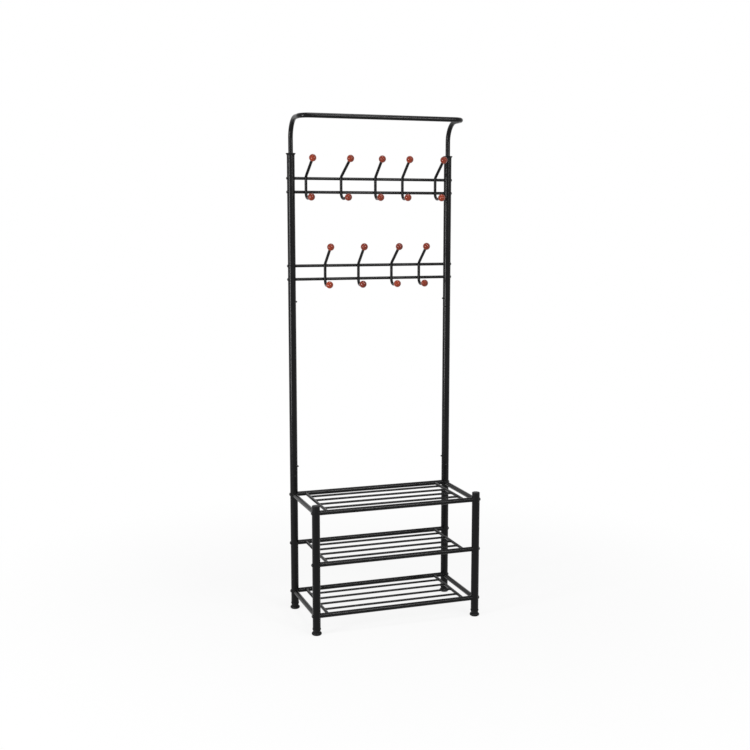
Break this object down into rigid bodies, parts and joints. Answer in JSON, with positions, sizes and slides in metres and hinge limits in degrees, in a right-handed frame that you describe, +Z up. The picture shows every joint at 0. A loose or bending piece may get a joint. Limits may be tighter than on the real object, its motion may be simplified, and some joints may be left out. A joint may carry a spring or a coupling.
{
  "type": "hall tree with hooks",
  "caption": "Free-standing black tube hall tree: hanger rail, two rows of double hooks with wooden ball ends, and an open shoe rack bench with slatted shelves on levelling feet.",
  "frame": {"origin": "on the floor, at the middle of the footprint", "axes": "+Z up; the front faces -Y, the tall posts stand at +Y; +X to the right seen from the front"},
  "size_m": [0.6482, 0.332, 1.8324],
  "materials": {
    "black_tube": "semi-gloss black powder coat",
    "black_fastener": "black oxide, satin",
    "black_plastic": "moulded black plastic",
    "knob_wood": "red-brown stain under gloss varnish",
    "zinc_steel": "bright zinc plate",
    "spring_steel": "blued spring steel"
  },
  "bodies": {
    "frame": {"bottom_cross_bars": "black_tube", "bottom_front_rail": "black_tube", "bottom_left_side_bar": "black_tube", "bottom_rear_rail": "black_tube", "bottom_right_side_bar": "black_tube", "bottom_shelf_rods": "black_tube", "button_springs": "spring_steel", "foot_plugs": "black_plastic", "front_left_post": "black_tube", "front_right_post": "black_tube", "hanger_rail": "black_tube", "hook_bar_bolts": "black_fastener", "left_lower_post": "black_tube", "left_middle_post": "black_tube", "left_upper_post": "black_tube", "lower_hook_1": "black_tube", "lower_hook_2": "black_tube", "lower_hook_3": "black_tube", "lower_hook_4": "black_tube", "lower_knobs": "knob_wood", "lower_row_bottom_hook_bar": "black_tube", "lower_row_top_hook_bar": "black_tube", "middle_cross_bars": "black_tube", "middle_front_rail": "black_tube", "middle_rear_rail": "black_tube", "middle_shelf_rods": "black_tube", "post_caps": "black_plastic", "rail_collars": "black_plastic", "right_lower_post": "black_tube", "right_middle_post": "black_tube", "right_upper_post": "black_tube", "shelf_bolts": "black_fastener", "threaded_inserts": "zinc_steel", "top_cross_bars": "black_tube", "top_front_rail": "black_tube", "top_left_side_bar": "black_tube", "top_rear_rail": "black_tube", "top_right_side_bar": "black_tube", "top_shelf_rods": "black_tube", "upper_hook_1": "black_tube", "upper_hook_2": "black_tube", "upper_hook_3": "black_tube", "upper_hook_4": "black_tube", "upper_hook_5": "black_tube", "upper_knobs": "knob_wood", "upper_row_bottom_hook_bar": "black_tube", "upper_row_top_hook_bar": "black_tube"},
    "front_left_pad": {"front_left_foot_pad": "black_plastic"},
    "front_left_stud": {"front_left_foot_stud": "zinc_steel"},
    "front_right_pad": {"front_right_foot_pad": "black_plastic"},
    "front_right_stud": {"front_right_foot_stud": "zinc_steel"},
    "rear_left_pad": {"rear_left_foot_pad": "black_plastic"},
    "rear_left_stud": {"rear_left_foot_stud": "zinc_steel"},
    "rear_right_pad": {"rear_right_foot_pad": "black_plastic"},
    "rear_right_stud": {"rear_right_foot_stud": "zinc_steel"},
    "left_lower_button": {"left_lower_snap_button": "black_fastener"},
    "left_upper_button": {"left_upper_snap_button": "black_fastener"},
    "right_lower_button": {"right_lower_snap_button": "black_fastener"},
    "right_upper_button": {"right_upper_snap_button": "black_fastener"}
  },
  "joints": [
    {"name": "front_left_foot_lift", "type": "slide", "parent": "frame", "child": "front_left_pad", "axis": [0, 0, 1], "range_m": [-0.01, 0]},
    {"name": "front_left_stud_turn", "type": "hinge", "parent": "front_left_pad", "child": "front_left_stud", "pos_m": [-0.306, -0.148, 0.02], "axis": [0, 0, 1], "range_deg": [-2881, 0]},
    {"name": "front_right_foot_lift", "type": "slide", "parent": "frame", "child": "front_right_pad", "axis": [0, 0, 1], "range_m": [-0.01, 0]},
    {"name": "front_right_stud_turn", "type": "hinge", "parent": "front_right_pad", "child": "front_right_stud", "pos_m": [0.306, -0.148, 0.02], "axis": [0, 0, 1], "range_deg": [-2881, 0]},
    {"name": "rear_left_foot_lift", "type": "slide", "parent": "frame", "child": "rear_left_pad", "axis": [0, 0, 1], "range_m": [-0.01, 0]},
    {"name": "rear_left_stud_turn", "type": "hinge", "parent": "rear_left_pad", "child": "rear_left_stud", "pos_m": [-0.306, 0.148, 0.02], "axis": [0, 0, 1], "range_deg": [-2881, 0]},
    {"name": "rear_right_foot_lift", "type": "slide", "parent": "frame", "child": "rear_right_pad", "axis": [0, 0, 1], "range_m": [-0.01, 0]},
    {"name": "rear_right_stud_turn", "type": "hinge", "parent": "rear_right_pad", "child": "rear_right_stud", "pos_m": [0.306, 0.148, 0.02], "axis": [0, 0, 1], "range_deg": [-2881, 0]},
    {"name": "left_lower_button_press", "type": "slide", "parent": "frame", "child": "left_lower_button", "axis": [-1, 0, 0], "range_m": [0, 0.0063], "stiffness_N_per_m": 800, "springref_m": -0.004, "deforming": ["button_springs"]},
    {"name": "left_upper_button_press", "type": "slide", "parent": "frame", "child": "left_upper_button", "axis": [-1, 0, 0], "range_m": [0, 0.0063], "stiffness_N_per_m": 800, "springref_m": -0.004, "deforming": ["button_springs"]},
    {"name": "right_lower_button_press", "type": "slide", "parent": "frame", "child": "right_lower_button", "axis": [1, 0, 0], "range_m": [0, 0.0063], "stiffness_N_per_m": 800, "springref_m": -0.004, "deforming": ["button_springs"]},
    {"name": "right_upper_button_press", "type": "slide", "parent": "frame", "child": "right_upper_button", "axis": [1, 0, 0], "range_m": [0, 0.0063], "stiffness_N_per_m": 800, "springref_m": -0.004, "deforming": ["button_springs"]}
  ],
  "couplings": [
    {"joint": "front_left_stud_turn", "follows": "front_left_foot_lift", "rad_per_m": 5026.5},
    {"joint": "front_right_stud_turn", "follows": "front_right_foot_lift", "rad_per_m": 5026.5},
    {"joint": "rear_left_stud_turn", "follows": "rear_left_foot_lift", "rad_per_m": 5026.5},
    {"joint": "rear_right_stud_turn", "follows": "rear_right_foot_lift", "rad_per_m": 5026.5}
  ]
}
